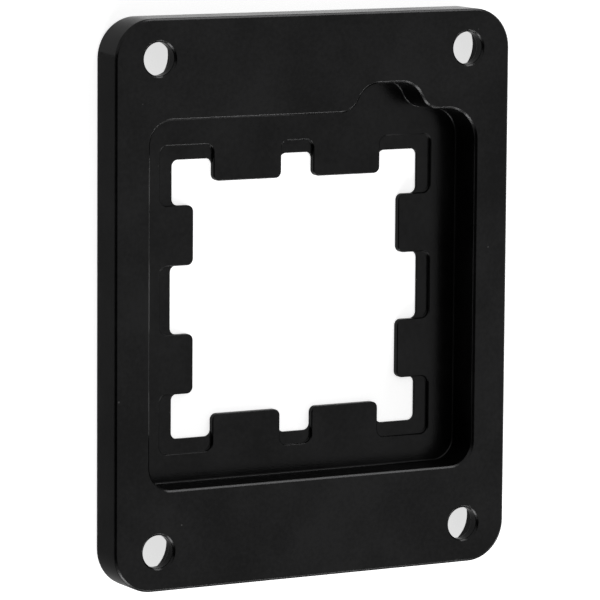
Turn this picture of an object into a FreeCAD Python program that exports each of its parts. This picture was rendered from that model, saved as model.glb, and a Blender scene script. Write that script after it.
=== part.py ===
import FreeCAD, Part
import os
from math import pi, sqrt
from types import SimpleNamespace
import Sketcher

# A retention frame for a processor socket: one aluminium plate, milled from both sides,
# bead blasted and anodised. It lies with its cooler side down and its board side up.
# X runs across the plate and Y along it. The origin is the middle of the cooler side.
# Every length is in millimetres.

# Driving sizes
sizes = {
    # plate
    "frameWidth": 55.0,
    "frameLength": 70.0,
    "frameThick": 5.6,
    "frameCornerRadius": 5.0,
    "boardEdgeBevel": 0.26,
    "coolerEdgeBevel": 0.65,
    # screw holes, with a bore for each screw's head on the cooler side
    "screwSpacingAcross": 43.1,
    "screwSpacingAlong": 60.2,
    "screwHoleBore": 4.1,
    "screwHoleBevel": 0.25,
    "screwHeadBore": 7.6,
    "screwHeadBevel": 0.2,
    "screwSeatThick": 1.5,
    # hollow on the board side that goes over the socket
    "socketAcross": 45.5,
    "socketAlong": 45.2,
    "socketCornerRadius": 3.0,
    "socketReliefCornerRadius": 4.0,
    "socketRimBevel": 0.27,
    "socketFloorThick": 0.8,
    "socketFloorFillet": 0.15,
    # finger relief in the far wall of the hollow
    "reliefPlace": 10.55,
    "reliefRise": 3.5,
    "reliefCrownWidth": 7.2,
    "reliefFootWidth": 10.55,
    "reliefCrownRadius": 3.15,
    "reliefFootRadius": 2.7,
    # window through the floor, with two tabs on each side and a notch beside each tab
    "tabTipGap": 28.9,
    "tabTipRadius": 0.8,
    "acrossTabStart": 2.25,
    "acrossTabEnd": 11.7,
    "alongTabStart": 4.25,
    "alongTabEnd": 11.65,
    "cornerNotchSpan": 34.5,
    "middleNotchSpan": 34.9,
    "notchCornerRadius": 0.8,
    # thin ledge that is left round the notches
    "ledgeSpan": 38.1,
    "ledgeThick": 0.35,
    "ledgeCornerRadius": 1.0,
    "ledgeRimBevel": 0.1,
}

partName = "retention_frame"
tolerance = 0.001
# the most that a fillet may take of the wall it shares with its neighbour
crownShare = 0.53
footShare = 0.46
sideShare = 0.9
tabShare = 0.48
# how steeply the bevels at both ends of a screw hole lean in, in degrees
screwBevelAngle = 45


class Length:
    """A length as a number, with the formula that ties it to the sheet of sizes."""

    def __init__(self, number, formula):
        self.number = number
        self.formula = formula

    def combine(self, sign, other, number):
        other = other if isinstance(other, Length) else Length(other, str(other))
        return Length(number(self.number, other.number),
                      "(%s %s %s)" % (self.formula, sign, other.formula))

    def __add__(self, other):
        return self.combine("+", other, lambda a, b: a + b)

    def __sub__(self, other):
        return self.combine("-", other, lambda a, b: a - b)

    def __mul__(self, other):
        return self.combine("*", other, lambda a, b: a * b)

    def __truediv__(self, other):
        return self.combine("/", other, lambda a, b: a / b)

    def __neg__(self):
        return Length(-self.number, "(-1 * %s)" % self.formula)


def shorter(first, second):
    return Length(min(first.number, second.number), "min(%s; %s)" % (first.formula, second.formula))


def diagonal(across, along):
    """The length of a slanting line from what it covers in both directions."""
    return Length(sqrt(across.number ** 2 + along.number ** 2),
                  "sqrt(%s ^ 2 + %s ^ 2)" % (across.formula, along.formula))


doc = FreeCAD.newDocument("RetentionFrame")
sheet = doc.addObject("Spreadsheet::Sheet", "Sizes")
for row, (name, number) in enumerate(sizes.items(), start=1):
    sheet.set("A%d" % row, name)
    sheet.set("B%d" % row, str(number))
    sheet.setAlias("B%d" % row, name)
doc.recompute()
mm = SimpleNamespace(**{name: Length(number, "Sizes." + name) for name, number in sizes.items()})

body = doc.addObject("PartDesign::Body", "Frame")
body.Label = partName
flatPlane = [plane for plane in body.Origin.OriginFeatures if plane.Role == "XY_Plane"][0]
zero = mm.frameThick - mm.frameThick


# Sketches

def newSketch(name, height):
    """An empty sketch, parallel to the plate, at the given height."""
    sketch = body.newObject("Sketcher::SketchObject", name)
    sketch.AttachmentSupport = (flatPlane, [""])
    sketch.MapMode = "FlatFace"
    sketch.setExpression("AttachmentOffset.Base.z", height.formula)
    return sketch


def hold(sketch, rules):
    """Adds constraints all at once and binds each one that comes with a length."""
    constraints = [Sketcher.Constraint(*rule, *([length.number] if length else []))
                   for rule, length in rules]
    for index, (rule, length) in zip(sketch.addConstraint(constraints), rules):
        if length:
            sketch.setExpression("Constraints[%d]" % index, length.formula)


def fromOrigin(direction, element, point, length):
    """The rule that keeps one coordinate of a sketch point at a length from the origin."""
    if length.number < 0:
        return ("Distance" + direction, element, point, -1, 1), -length
    return ("Distance" + direction, -1, 1, element, point), length


def vector(x, y):
    return FreeCAD.Vector(x, y, 0)


def addPolygon(sketch, corners):
    """A closed outline of straight lines through the given corners."""
    spots = [vector(x.number, y.number) for x, y in corners]
    lines = [sketch.addGeometry(Part.LineSegment(start, end))
             for start, end in zip(spots, spots[1:] + spots[:1])]
    rules = [(("Coincident", line, 2, following, 1), None)
             for line, following in zip(lines, lines[1:] + lines[:1])]
    for line, (x, y) in zip(lines, corners):
        rules += [fromOrigin("X", line, 1, x), fromOrigin("Y", line, 1, y)]
    hold(sketch, rules)


def addRoundedBox(sketch, left, bottom, right, top, radius, farRadius=None):
    """A rectangle with round corners, as four lines and four arcs, anticlockwise.

    The corner at the right and the top can have a radius of its own."""
    farRadius = farRadius or radius
    x0, y0, x1, y1 = left.number, bottom.number, right.number, top.number
    r, far = radius.number, farRadius.number
    runs = [((x0 + r, y0), (x1 - r, y0)), ((x1, y0 + r), (x1, y1 - far)),
            ((x1 - far, y1), (x0 + r, y1)), ((x0, y1 - r), (x0, y0 + r))]
    lines = [sketch.addGeometry(Part.LineSegment(vector(*start), vector(*end)))
             for start, end in runs]
    bends = [(x1 - r, y0 + r, r), (x1 - far, y1 - far, far), (x0 + r, y1 - r, r),
             (x0 + r, y0 + r, r)]
    arcs = []
    for quarter, (x, y, bend) in enumerate(bends):
        circle = Part.Circle(vector(x, y), FreeCAD.Vector(0, 0, 1), bend)
        start = (quarter - 1) * pi / 2
        arcs.append(sketch.addGeometry(Part.ArcOfCircle(circle, start, start + pi / 2)))
    rules = [(("Radius", arcs[0]), radius), (("Radius", arcs[1]), farRadius)]
    for line, arc, following in zip(lines, arcs, lines[1:] + lines[:1]):
        rules += [(("Tangent", line, 2, arc, 1), None), (("Tangent", arc, 2, following, 1), None)]
    rules += [((direction, line), None)
              for line, direction in zip(lines, ("Horizontal", "Vertical") * 2)]
    rules += [(("Equal", arcs[0], arc), None) for arc in arcs[2:]]
    rules += [fromOrigin(direction, line, 1, length)
              for line, direction, length in zip(lines, "YXYX", (bottom, right, top, left))]
    hold(sketch, rules)


def addCentredBox(sketch, across, along, radius, farRadius=None):
    addRoundedBox(sketch, -across / 2, -along / 2, across / 2, along / 2, radius, farRadius)


def addCornerBoxes(sketch, span, radius):
    """One box in each corner of a square span, from the tabs' outer sides to the span's edge."""
    nearX, nearY, far = mm.acrossTabEnd, mm.alongTabEnd, span / 2
    for left, right in ((nearX, far), (-far, -nearX)):
        for bottom, top in ((nearY, far), (-far, -nearY)):
            addRoundedBox(sketch, left, bottom, right, top, radius)


def addCircles(sketch, centres, diameter):
    """Equal circles, the first of which carries the diameter."""
    upward = FreeCAD.Vector(0, 0, 1)
    circles = [sketch.addGeometry(Part.Circle(vector(x.number, y.number), upward,
                                              diameter.number / 2)) for x, y in centres]
    rules = [(("Diameter", circles[0]), diameter)]
    rules += [(("Equal", circles[0], circle), None) for circle in circles[1:]]
    for circle, (x, y) in zip(circles, centres):
        rules += [fromOrigin("X", circle, 3, x), fromOrigin("Y", circle, 3, y)]
    hold(sketch, rules)


# Features

def cut(name, sketch, depth, upward=False, narrowing=0):
    """A pocket from the sketch, down into the plate unless upward is set.

    Its walls lean in by the narrowing angle, in degrees, as those of a countersink do."""
    before = body.Tip.Shape.Volume
    pocket = body.newObject("PartDesign::Pocket", name)
    pocket.Profile = sketch
    pocket.Type = "Length"
    pocket.Reversed = upward
    pocket.TaperAngle = -narrowing
    pocket.setExpression("Length", depth.formula)
    doc.recompute()
    if pocket.Shape.Volume > before - tolerance:
        raise RuntimeError("%s cuts nothing" % name)
    return pocket


def dressEdges(kind, name, edges, length):
    """A Fillet or a Chamfer on the named edges of the newest feature."""
    dressed = body.newObject("PartDesign::" + kind, name)
    dressed.Base = (dressed.BaseFeature, edges)
    dressed.setExpression("Radius" if kind == "Fillet" else "Size", length.formula)
    doc.recompute()
    return dressed


def uprightEdges(places):
    """The names of the upright edges that stand at the given places, seen from above."""
    names = []
    for number, edge in enumerate(body.Tip.Shape.Edges, start=1):
        box = edge.BoundBox
        if box.ZLength < tolerance or max(box.XLength, box.YLength) > tolerance:
            continue
        for x, y in places:
            if abs(box.XMin - x.number) < tolerance and abs(box.YMin - y.number) < tolerance:
                names.append("Edge%d" % number)
    return names


def rimEdges(height, outer=False):
    """The names of the edges round a level face: its holes, or else its outside."""
    shape = body.Tip.Shape
    level = [face for face in shape.Faces if face.BoundBox.ZLength < tolerance
             and abs(face.BoundBox.ZMin - height.number) < tolerance]
    face = max(level, key=lambda candidate: candidate.BoundBox.DiagonalLength)
    wires = [wire for wire in face.Wires if wire.isSame(face.OuterWire) == outer]
    rim = [edge for wire in wires for edge in wire.Edges]
    return ["Edge%d" % number for number, edge in enumerate(shape.Edges, start=1)
            if any(edge.isSame(other) for other in rim)]


# Plate

def makePlate():
    outline = newSketch("PlateOutline", zero)
    addCentredBox(outline, mm.frameWidth, mm.frameLength, mm.frameCornerRadius)
    plate = body.newObject("PartDesign::Pad", "Plate")
    plate.Profile = outline
    plate.setExpression("Length", mm.frameThick.formula)
    doc.recompute()
    dressEdges("Chamfer", "BoardEdgeBevel", rimEdges(mm.frameThick, outer=True), mm.boardEdgeBevel)
    dressEdges("Chamfer", "CoolerEdgeBevel", rimEdges(zero, outer=True), mm.coolerEdgeBevel)


# Hollow over the socket, with the finger relief in its far wall

def makeSocketHollow():
    depth = mm.frameThick - mm.socketFloorThick
    wall = mm.socketAlong / 2
    crown = wall + mm.reliefRise
    crownLeft = mm.reliefPlace - mm.reliefCrownWidth / 2
    crownRight = mm.reliefPlace + mm.reliefCrownWidth / 2
    footLeft = mm.reliefPlace - mm.reliefFootWidth / 2
    footRight = mm.reliefPlace + mm.reliefFootWidth / 2
    # a fillet of radius r takes r * (flank - flare) / rise of the slanting flank, and
    # the crown's and the foot's share that flank
    flare = footRight - crownRight
    flank = diagonal(flare, mm.reliefRise)
    reachPerRadius = (flank - flare) / mm.reliefRise
    crownRadius = shorter(mm.reliefCrownRadius, flank * crownShare / reachPerRadius)
    footRadius = shorter(mm.reliefFootRadius, flank * footShare / reachPerRadius)
    # the hollow's corner beside the relief has the wall between the foot and the side
    sideWall = mm.socketAcross / 2 - footRight - footRadius * reachPerRadius
    sideRadius = shorter(mm.socketReliefCornerRadius, sideWall * sideShare)

    outline = newSketch("SocketOutline", mm.frameThick)
    addCentredBox(outline, mm.socketAcross, mm.socketAlong, mm.socketCornerRadius, sideRadius)
    cut("SocketHollow", outline, depth)
    inside = wall - mm.reliefRise
    outline = newSketch("ReliefOutline", mm.frameThick)
    addPolygon(outline, [(footLeft, inside), (footRight, inside), (footRight, wall),
                         (crownRight, crown), (crownLeft, crown), (footLeft, wall)])
    cut("FingerRelief", outline, depth)
    crownEdges = uprightEdges([(crownLeft, crown), (crownRight, crown)])
    dressEdges("Fillet", "ReliefCrown", crownEdges, crownRadius)
    footEdges = uprightEdges([(footLeft, wall), (footRight, wall)])
    dressEdges("Fillet", "ReliefFoot", footEdges, footRadius)
    # the small radius that the end mill leaves where the floor meets the walls
    floorEdges = rimEdges(mm.socketFloorThick, outer=True)
    dressEdges("Fillet", "SocketFloorFillet", floorEdges, mm.socketFloorFillet)
    dressEdges("Chamfer", "SocketRimBevel", rimEdges(mm.frameThick), mm.socketRimBevel)


# Window and ledge

def cutNotches(name, height, depth, cornerSpan, middleSpan, radius):
    """The four corner notches and the two slots that make the middle notches."""
    corners = newSketch(name + "CornerOutlines", height)
    addCornerBoxes(corners, cornerSpan, radius)
    cut(name + "Corners", corners, depth)
    across = newSketch(name + "AcrossOutline", height)
    addCentredBox(across, middleSpan, mm.alongTabStart * 2, radius)
    cut(name + "Across", across, depth)
    along = newSketch(name + "AlongOutline", height)
    addCentredBox(along, mm.acrossTabStart * 2, middleSpan, radius)
    cut(name + "Along", along, depth)


def makeWindow():
    tip = mm.tabTipGap / 2
    middle = newSketch("WindowOutline", mm.socketFloorThick)
    addPolygon(middle, [(-tip, -tip), (tip, -tip), (tip, tip), (-tip, tip)])
    cut("Window", middle, mm.socketFloorThick)
    cutNotches("Ledge", mm.socketFloorThick, mm.socketFloorThick - mm.ledgeThick,
               mm.ledgeSpan, mm.ledgeSpan, mm.ledgeCornerRadius)
    # a tab's flank has a round corner at its tip and another at the notch's outer end
    flankShare = (shorter(mm.cornerNotchSpan, mm.middleNotchSpan) / 2 - tip) * tabShare
    cutNotches("Notch", mm.socketFloorThick, mm.socketFloorThick, mm.cornerNotchSpan,
               mm.middleNotchSpan, shorter(mm.notchCornerRadius, flankShare))
    tipCorners = []
    for side in (-tip, tip):
        for place in (mm.acrossTabStart, mm.acrossTabEnd):
            tipCorners += [(place, side), (-place, side)]
        for place in (mm.alongTabStart, mm.alongTabEnd):
            tipCorners += [(side, place), (side, -place)]
    dressEdges("Fillet", "TabTips", uprightEdges(tipCorners), shorter(mm.tabTipRadius, flankShare))
    dressEdges("Chamfer", "LedgeRimBevel", rimEdges(mm.socketFloorThick), mm.ledgeRimBevel)


# Screw holes

def makeScrewHoles():
    x, y = mm.screwSpacingAcross / 2, mm.screwSpacingAlong / 2
    centres = [(x, y), (-x, y), (-x, -y), (x, -y)]
    headDepth = mm.frameThick - mm.screwSeatThick
    bores = [("ScrewHoles", mm.frameThick, mm.screwHoleBore, mm.frameThick, False, 0),
             ("ScrewHeadBores", zero, mm.screwHeadBore, headDepth, True, 0),
             ("ScrewHoleBevel", mm.frameThick, mm.screwHoleBore + mm.screwHoleBevel * 2,
              mm.screwHoleBevel, False, screwBevelAngle),
             ("ScrewHeadBevel", zero, mm.screwHeadBore + mm.screwHeadBevel * 2,
              mm.screwHeadBevel, True, screwBevelAngle)]
    for name, height, diameter, depth, upward, narrowing in bores:
        outline = newSketch(name + "Outlines", height)
        addCircles(outline, centres, diameter)
        cut(name, outline, depth, upward, narrowing)


def checkAndWrite():
    """Stops on any failed object, then writes the body's file."""
    doc.recompute()
    for thing in doc.Objects:
        if {"Invalid", "Error"} & set(thing.State):
            raise RuntimeError("%s failed: %s" % (thing.Name, thing.State))
    shape = body.Shape
    if shape.isNull() or not shape.isValid() or len(shape.Solids) != 1:
        raise RuntimeError("%s isn't one sound solid" % body.Label)
    os.makedirs("parts", exist_ok=True)
    shape.exportStep("parts/%s.step" % body.Label)
    box = shape.BoundBox
    print("%s: %.2f x %.2f x %.2f mm, %.1f mm3"
          % (body.Label, box.XLength, box.YLength, box.ZLength, shape.Volume))


makePlate()
makeSocketHollow()
makeWindow()
makeScrewHoles()
checkAndWrite()
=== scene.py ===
from math import radians

import bmesh
import bpy
import numpy as np
from mathutils import Euler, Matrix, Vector


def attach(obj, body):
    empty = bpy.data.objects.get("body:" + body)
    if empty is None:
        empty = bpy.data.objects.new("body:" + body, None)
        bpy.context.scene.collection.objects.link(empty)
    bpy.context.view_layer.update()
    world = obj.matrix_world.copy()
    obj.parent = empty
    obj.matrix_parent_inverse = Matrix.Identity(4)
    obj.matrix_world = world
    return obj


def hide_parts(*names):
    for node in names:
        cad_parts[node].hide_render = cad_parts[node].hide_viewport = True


# A milled retention frame for a processor socket, bead blasted and anodised black.
# It lies on its cooler side. Lengths in the dictionaries are millimetres.

mm = 0.001
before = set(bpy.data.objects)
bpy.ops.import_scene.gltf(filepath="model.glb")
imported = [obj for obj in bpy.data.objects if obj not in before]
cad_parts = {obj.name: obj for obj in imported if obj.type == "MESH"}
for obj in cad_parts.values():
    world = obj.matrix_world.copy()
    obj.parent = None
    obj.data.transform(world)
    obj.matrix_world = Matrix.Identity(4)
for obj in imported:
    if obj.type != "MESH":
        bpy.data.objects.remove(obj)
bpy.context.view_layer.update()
scene = bpy.context.scene
print("frame loaded:", sorted(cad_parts))


# Small helpers for node materials

def newMaterial(name):
    material = bpy.data.materials.new(name)
    material.use_nodes = True
    material.node_tree.nodes.clear()
    return material, material.node_tree


def addNode(tree, kind, inputs=None, **settings):
    node = tree.nodes.new(kind)
    for key, value in settings.items():
        setattr(node, key, value)
    for key, value in (inputs or {}).items():
        if isinstance(value, bpy.types.NodeSocket):
            tree.links.new(value, node.inputs[key])
        else:
            node.inputs[key].default_value = value
    return node


def noiseOn(tree, place, grain, detail=3.0, roughness=0.55):
    # noise whose largest lumps are about one grain across, in millimetres
    return addNode(tree, "ShaderNodeTexNoise",
                   {"Vector": place, "Scale": 1.0 / grain, "Detail": detail,
                    "Roughness": roughness}).outputs["Fac"]


def spread(tree, value, low, high, fromLow=0.3, fromHigh=0.7):
    # maps the middle of a noise's range onto low to high
    return addNode(tree, "ShaderNodeMapRange",
                   {"Value": value, "From Min": fromLow, "From Max": fromHigh,
                    "To Min": low, "To Max": high}).outputs["Result"]


def showsBackground(tree):
    # 1 for a ray that shows the background: from the camera, off a gloss or through glass
    rays = addNode(tree, "ShaderNodeLightPath").outputs
    seen = addNode(tree, "ShaderNodeMath", {0: rays["Is Camera Ray"], 1: rays["Is Glossy Ray"]},
                   operation="MAXIMUM").outputs["Value"]
    return addNode(tree, "ShaderNodeMath", {0: seen, 1: rays["Is Transmission Ray"]},
                   operation="MAXIMUM").outputs["Value"]


# The finish

anodisedBlack = {
    "darkColour": (0.0104, 0.0104, 0.0105, 1),
    "lightColour": (0.0154, 0.0154, 0.0156, 1),
    # painted glints: the colour of the lighter dots that stand in for glints
    "glintColour": (0.05, 0.05, 0.05, 1),
    "metallic": 0.92,
    "ior": 1.5,
    "specular": 0.25,
    "edgeTint": (0.55, 0.55, 0.55, 1),  # lower keeps the plate blacker from the side
    "roughLow": 0.18,  # where the dye is dark
    "roughHigh": 0.27,  # where it is light
    "edgeRound": 0.2,
    "blastGrain": 0.17,
    "blastDepth": 0.0090,
    "fineGrain": 0.07,
    "fineDepth": 0.0014,
    "cloudSize": 9.0,
    "dustSize": 0.5,
    "dustShare": 0.3,
    "speckSpacing": 0.45,
    "speckSize": 0.12,
    "speckShare": 0.06,  # of the cells that are one spacing wide
}


def makeAnodisedBlack():
    # blasting rounds the edges and leaves small dents, and the dye takes slightly unevenly
    look = anodisedBlack
    material, tree = newMaterial("blackAnodisedAluminium")
    coordinates = addNode(tree, "ShaderNodeTexCoord").outputs["Object"]
    inMillimetres = addNode(tree, "ShaderNodeMapping", {"Vector": coordinates,
                                                        "Scale": (1 / mm, 1 / mm, 1 / mm)})
    place = inMillimetres.outputs["Vector"]

    dents = addNode(tree, "ShaderNodeTexVoronoi",
                    {"Vector": place, "Scale": 1 / look["blastGrain"], "Randomness": 1.0},
                    feature="SMOOTH_F1").outputs["Distance"]
    fine = noiseOn(tree, place, look["fineGrain"], detail=2.0)
    cloud = noiseOn(tree, place, look["cloudSize"], detail=4.0)
    dust = noiseOn(tree, place, look["dustSize"], detail=3.0)

    rounded = addNode(tree, "ShaderNodeBevel", {"Radius": look["edgeRound"] * mm}, samples=8)
    dentBump = addNode(tree, "ShaderNodeBump",
                       {"Height": dents, "Strength": 1.0, "Distance": look["blastDepth"] * mm,
                        "Normal": rounded.outputs["Normal"]})
    fineBump = addNode(tree, "ShaderNodeBump",
                       {"Height": fine, "Strength": 1.0, "Distance": look["fineDepth"] * mm,
                        "Normal": dentBump.outputs["Normal"]})

    uneven = addNode(tree, "ShaderNodeMath", {0: spread(tree, cloud, 0.0, 1.0),
                                              1: spread(tree, dust, -look["dustShare"],
                                                        look["dustShare"])},
                     operation="ADD", use_clamp=True).outputs["Value"]
    dye = addNode(tree, "ShaderNodeValToRGB", {"Fac": uneven})
    dye.color_ramp.elements[0].color = look["darkColour"]
    dye.color_ramp.elements[1].color = look["lightColour"]

    # painted glints: a few of the cells of a coarse Voronoi pattern hold a small round dot of a
    # lighter colour, which stands in for the glints of the blasted surface
    cells = addNode(tree, "ShaderNodeTexVoronoi",
                    {"Vector": place, "Scale": 1 / look["speckSpacing"], "Randomness": 1.0})
    chosen = addNode(tree, "ShaderNodeMath", {0: cells.outputs["Color"], 1: look["speckShare"]},
                     operation="LESS_THAN").outputs["Value"]
    inside = addNode(tree, "ShaderNodeMath", {0: cells.outputs["Distance"],
                                              1: look["speckSize"] / look["speckSpacing"]},
                     operation="LESS_THAN").outputs["Value"]
    paintedGlint = addNode(tree, "ShaderNodeMath", {0: chosen, 1: inside},
                    operation="MULTIPLY").outputs["Value"]
    colour = addNode(tree, "ShaderNodeMix", {0: paintedGlint}, data_type="RGBA")
    tree.links.new(dye.outputs["Color"], colour.inputs[6])
    colour.inputs[7].default_value = look["glintColour"]

    shader = addNode(tree, "ShaderNodeBsdfPrincipled",
                     {"Base Color": colour.outputs[2], "Metallic": look["metallic"],
                      "IOR": look["ior"], "Specular IOR Level": look["specular"],
                      "Specular Tint": look["edgeTint"],
                      "Roughness": spread(tree, uneven, look["roughLow"], look["roughHigh"], 0, 1),
                      "Normal": fineBump.outputs["Normal"]})
    output = addNode(tree, "ShaderNodeOutputMaterial")
    tree.links.new(shader.outputs["BSDF"], output.inputs["Surface"])
    return material


anodised = makeAnodisedBlack()
print("finish made:", anodised.name)


# The frame itself: the CAD node's own surface, with its round walls shaded round

plate = {
    "weld": 0.0005,
    "sharpAngle": 32,  # degrees: a steeper edge stays sharp
}


def makePlate():
    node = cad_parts["retention_frame"]
    mesh = node.data.copy()
    mesh.name = "milledPlate"
    work = bmesh.new()
    work.from_mesh(mesh)
    bmesh.ops.remove_doubles(work, verts=work.verts, dist=plate["weld"] * mm)
    for face in work.faces:
        face.smooth = True
    for edge in work.edges:
        edge.smooth = edge.is_manifold and edge.calc_face_angle() < radians(plate["sharpAngle"])
    work.to_mesh(mesh)
    work.free()
    mesh.materials.clear()
    mesh.materials.append(anodised)
    piece = bpy.data.objects.new("milledPlate", mesh)
    scene.collection.objects.link(piece)
    weighted = piece.modifiers.new("flatFacesStayFlat", "WEIGHTED_NORMAL")
    weighted.keep_sharp = True
    weighted.weight = 100
    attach(piece, "root")
    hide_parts("retention_frame")
    node.data.materials.clear()
    node.data.materials.append(anodised)
    return piece


milledPlate = makePlate()
print("plate made:", len(milledPlate.data.polygons), "faces")


# The floor that the frame lies on

studio = {
    "floorSize": 1600,
    "floorCells": 8,
    "floorDrop": 0.02,
    "floorColour": (0.85, 0.85, 0.85, 1),
    "floorGlow": 0.72,
}


def makeFloor():
    # a flat grid, white where it is seen by its own glow and colour, which keep a soft shadow
    half = studio["floorSize"] / 2 * mm
    cells = studio["floorCells"]
    row = cells + 1
    line = np.linspace(-half, half, row)
    across, along = np.meshgrid(line, line)
    places = np.stack([across.ravel(), along.ravel(),
                       np.full(across.size, -studio["floorDrop"] * mm)], axis=1)
    corner = np.arange(cells)[None, :] + row * np.arange(cells)[:, None]
    faces = np.stack([corner, corner + 1, corner + row + 1, corner + row],
                     axis=-1).reshape(-1, 4)
    mesh = bpy.data.meshes.new("floor")
    mesh.from_pydata(places.tolist(), [], faces.tolist())
    floor = bpy.data.objects.new("floor", mesh)
    scene.collection.objects.link(floor)

    material, tree = newMaterial("paleFloor")
    matt = addNode(tree, "ShaderNodeBsdfDiffuse", {"Color": studio["floorColour"]})
    glow = addNode(tree, "ShaderNodeEmission", {"Color": (1, 1, 1, 1)})
    strength = addNode(tree, "ShaderNodeMath", {0: showsBackground(tree),
                                                1: studio["floorGlow"]},
                       operation="MULTIPLY").outputs["Value"]
    tree.links.new(strength, glow.inputs["Strength"])
    both = addNode(tree, "ShaderNodeAddShader")
    tree.links.new(matt.outputs["BSDF"], both.inputs[0])
    tree.links.new(glow.outputs["Emission"], both.inputs[1])
    output = addNode(tree, "ShaderNodeOutputMaterial")
    tree.links.new(both.outputs["Shader"], output.inputs["Surface"])
    mesh.materials.append(material)
    return floor


makeFloor()


# Light: a soft white room with low lamps round the plate, a dark card high on its left, and grey
# cards on the floor at its left and its near side, which only its gloss shows: painted shade, an
# even glow for the floor's shade there

lights = {
    "roomLight": 0.45,
    "roomSeen": 1.0,
    "lamps": [  # place of the middle, width and height, brightness of the face
        ("nearRightLamp", (190, -450, 130), (250, 130), 17.0),
        ("nearLeftLamp", (-190, -450, 130), (250, 130), 17.0),
        ("farLamp", (205, 402, 70), (240, 130), 9.0),
        ("rightLamp", (490, -272, 125), (155, 130), 24.0),
    ],
    "darkCard": {"place": (-300, -60, 330), "size": (400, 700), "level": 0.01},
    # painted shade: cards that glow evenly for the floor's shade beside the plate, seen only in
    # its gloss
    "shadeCards": {"height": -0.005, "level": 0.56,
                  "corners": [("leftShadeCard", (-330, -330), (-27.9, 31)),
                              ("lowerShadeCard", (-27.9, -330), (330, -35.4)),
                              ("cornerShadeCard", (-27.9, -35.4), (-21, -28.5))]},
}


def makeRoom():
    # the room lights the plate softly, and is plain white where it is seen
    world = bpy.data.worlds.new("softRoom")
    scene.world = world
    world.use_nodes = True
    tree = world.node_tree
    tree.nodes.clear()
    soft = addNode(tree, "ShaderNodeBackground", {"Color": (1, 1, 1, 1),
                                                  "Strength": lights["roomLight"]})
    white = addNode(tree, "ShaderNodeBackground", {"Color": (1, 1, 1, 1),
                                                   "Strength": lights["roomSeen"]})
    mix = addNode(tree, "ShaderNodeMixShader", {"Fac": showsBackground(tree)})
    tree.links.new(soft.outputs["Background"], mix.inputs[1])
    tree.links.new(white.outputs["Background"], mix.inputs[2])
    output = addNode(tree, "ShaderNodeOutputWorld")
    tree.links.new(mix.outputs["Shader"], output.inputs["Surface"])


def facing(place):
    # the turn that points a lamp or a card at the plate
    return (-Vector(place)).to_track_quat("-Z", "Y").to_matrix()


def addCard(name, places, level):
    # a card that the plate mirrors at an even level, out of the picture
    mesh = bpy.data.meshes.new(name)
    mesh.from_pydata((np.array(places) * mm).tolist(), [], [(0, 1, 2, 3)])
    card = bpy.data.objects.new(name, mesh)
    card.visible_camera = False
    scene.collection.objects.link(card)
    material, tree = newMaterial(name + "Even")
    even = addNode(tree, "ShaderNodeEmission", {"Color": (1, 1, 1, 1), "Strength": level})
    output = addNode(tree, "ShaderNodeOutputMaterial")
    tree.links.new(even.outputs["Emission"], output.inputs["Surface"])
    mesh.materials.append(material)
    return card


def addCards():
    # one card faces the plate from above, the others lie on the floor and cast no shadow: painted
    # shade, which glows evenly where the floor beside the plate lies in shade
    high = lights["darkCard"]
    flat = np.array([(-1, 1), (1, 1), (1, -1), (-1, -1)]) * np.array(high["size"]) / 2
    places = np.column_stack([flat, np.zeros(4)]) @ np.array(facing(high["place"])).T
    addCard("darkCard", places + np.array(high["place"]), high["level"])
    low = lights["shadeCards"]
    for name, (left, near), (right, far) in low["corners"]:
        places = [(left, near, low["height"]), (right, near, low["height"]),
                  (right, far, low["height"]), (left, far, low["height"])]
        card = addCard(name, places, low["level"])
        card.visible_shadow = False
        card.visible_diffuse = False


def addLamp(name, place, size, level):
    # a lamp whose face shows the given brightness, turned towards the plate
    data = bpy.data.lights.new(name, "AREA")
    data.shape = "RECTANGLE"
    data.size, data.size_y = size[0] * mm, size[1] * mm
    data.energy = level * np.pi * data.size * data.size_y
    lamp = bpy.data.objects.new(name, data)
    lamp.location = Vector(place) * mm
    lamp.rotation_euler = facing(place).to_euler()
    scene.collection.objects.link(lamp)
    return lamp


makeRoom()
for name, place, size, level in lights["lamps"]:
    addLamp(name, place, size, level)
addCards()
print("floor and lights made")


# The camera, as the photograph was taken

camera = {
    "place": (-268.317, 74.263, 491.658),
    "turn": (-7.8744, -28.6504, 0.4598),  # degrees
    "lens": 272.666,
    "sensor": 36.0,
    "clip": (10, 20000),
}


def makeCamera():
    data = bpy.data.cameras.new("photoCamera")
    data.lens = camera["lens"]
    data.sensor_width = camera["sensor"]
    data.clip_start, data.clip_end = camera["clip"][0] * mm, camera["clip"][1] * mm
    eye = bpy.data.objects.new("photoCamera", data)
    eye.location = Vector(camera["place"]) * mm
    eye.rotation_euler = Euler([radians(angle) for angle in camera["turn"]], "XYZ")
    scene.collection.objects.link(eye)
    scene.camera = eye


makeCamera()
scene.view_settings.view_transform = "Standard"
print("camera set")
